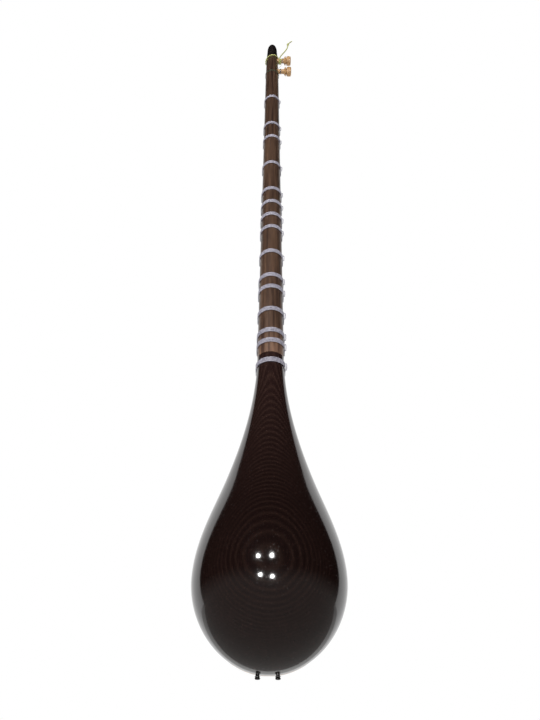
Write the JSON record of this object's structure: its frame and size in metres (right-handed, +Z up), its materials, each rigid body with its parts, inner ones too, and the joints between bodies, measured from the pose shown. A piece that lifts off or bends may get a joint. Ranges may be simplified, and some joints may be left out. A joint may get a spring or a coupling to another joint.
{
  "type": "long-necked lute",
  "caption": "Long-necked plucked lute with a deep carved bowl, tied frets on a slim neck, friction pegs on one side and a short hanging cord round the head.",
  "frame": {"origin": "on the front face of the head, at the height where the hanging cord goes round it", "axes": "+Z up the neck towards the head, -Y out of the playing side, +Y towards the rounded back, pegs on the -X side"},
  "size_m": [0.137, 0.1111, 1.1462],
  "materials": {
    "dark_lacquer": "glossy dark red-brown lacquer",
    "mulberry": "satin",
    "walnut": "satin",
    "black_cap": "polished black",
    "bone": "polished bone",
    "dark_wood": "satin",
    "black_pin": "polished black",
    "boxwood": "polished",
    "steel": "bright drawn wire",
    "nylon": "clear grey-white line",
    "thread": "thin dark green line",
    "yellow_cord": "twisted cord"
  },
  "bodies": {
    "instrument": {"bowl": "dark_lacquer", "soundboard": "mulberry", "neck": "walnut", "head_cap": "black_cap", "nut": "bone", "bridge": "dark_wood", "tail_pin_bass": "black_pin", "tail_pin_treble": "black_pin", "string_treble": "steel", "string_bass": "steel", "nut_tie": "thread", "hanging_cord": "yellow_cord", "hanging_cord_end": "yellow_cord", "hanging_cord_knot": "yellow_cord"},
    "upper_peg": {"peg_upper": "boxwood", "winding_upper": "steel"},
    "lower_peg": {"peg_lower": "boxwood", "winding_lower": "steel"},
    "fret_01_band": {"fret_01": "nylon"},
    "fret_02_band": {"fret_02": "nylon"},
    "fret_03_band": {"fret_03": "nylon"},
    "fret_04_band": {"fret_04": "nylon"},
    "fret_05_band": {"fret_05": "nylon"},
    "fret_06_band": {"fret_06": "nylon"},
    "fret_07_band": {"fret_07": "nylon"},
    "fret_08_band": {"fret_08": "nylon"},
    "fret_09_band": {"fret_09": "nylon"},
    "fret_10_band": {"fret_10": "nylon"},
    "fret_11_band": {"fret_11": "nylon"},
    "fret_12_band": {"fret_12": "nylon"},
    "fret_13_band": {"fret_13": "nylon"},
    "fret_14_band": {"fret_14": "nylon"},
    "fret_15_band": {"fret_15": "nylon"}
  },
  "joints": [
    {"name": "upper_peg_turn", "type": "hinge", "parent": "instrument", "child": "upper_peg", "pos_m": [0, 0.0095, -0.0025], "axis": [1, 0, 0], "continuous": true},
    {"name": "lower_peg_turn", "type": "hinge", "parent": "instrument", "child": "lower_peg", "pos_m": [0, 0.0095, -0.047], "axis": [1, 0, 0], "continuous": true},
    {"name": "fret_01_slide", "type": "slide", "parent": "instrument", "child": "fret_01_band", "axis": [0, 0, 1], "range_m": [-0.0035, 0.0035]},
    {"name": "fret_02_slide", "type": "slide", "parent": "instrument", "child": "fret_02_band", "axis": [0, 0, 1], "range_m": [-0.0035, 0.0035]},
    {"name": "fret_03_slide", "type": "slide", "parent": "instrument", "child": "fret_03_band", "axis": [0, 0, 1], "range_m": [-0.0035, 0.0035]},
    {"name": "fret_04_slide", "type": "slide", "parent": "instrument", "child": "fret_04_band", "axis": [0, 0, 1], "range_m": [-0.0035, 0.0035]},
    {"name": "fret_05_slide", "type": "slide", "parent": "instrument", "child": "fret_05_band", "axis": [0, 0, 1], "range_m": [-0.0035, 0.0035]},
    {"name": "fret_06_slide", "type": "slide", "parent": "instrument", "child": "fret_06_band", "axis": [0, 0, 1], "range_m": [-0.0035, 0.0035]},
    {"name": "fret_07_slide", "type": "slide", "parent": "instrument", "child": "fret_07_band", "axis": [0, 0, 1], "range_m": [-0.0035, 0.0035]},
    {"name": "fret_08_slide", "type": "slide", "parent": "instrument", "child": "fret_08_band", "axis": [0, 0, 1], "range_m": [-0.0035, 0.0035]},
    {"name": "fret_09_slide", "type": "slide", "parent": "instrument", "child": "fret_09_band", "axis": [0, 0, 1], "range_m": [-0.0035, 0.0035]},
    {"name": "fret_10_slide", "type": "slide", "parent": "instrument", "child": "fret_10_band", "axis": [0, 0, 1], "range_m": [-0.0035, 0.0035]},
    {"name": "fret_11_slide", "type": "slide", "parent": "instrument", "child": "fret_11_band", "axis": [0, 0, 1], "range_m": [-0.0035, 0.0035]},
    {"name": "fret_12_slide", "type": "slide", "parent": "instrument", "child": "fret_12_band", "axis": [0, 0, 1], "range_m": [-0.0035, 0.0035]},
    {"name": "fret_13_slide", "type": "slide", "parent": "instrument", "child": "fret_13_band", "axis": [0, 0, 1], "range_m": [-0.0035, 0.0035]},
    {"name": "fret_14_slide", "type": "slide", "parent": "instrument", "child": "fret_14_band", "axis": [0, 0, 1], "range_m": [-0.0035, 0.0035]},
    {"name": "fret_15_slide", "type": "slide", "parent": "instrument", "child": "fret_15_band", "axis": [0, 0, 1], "range_m": [-0.001, 0.0035]}
  ]
}
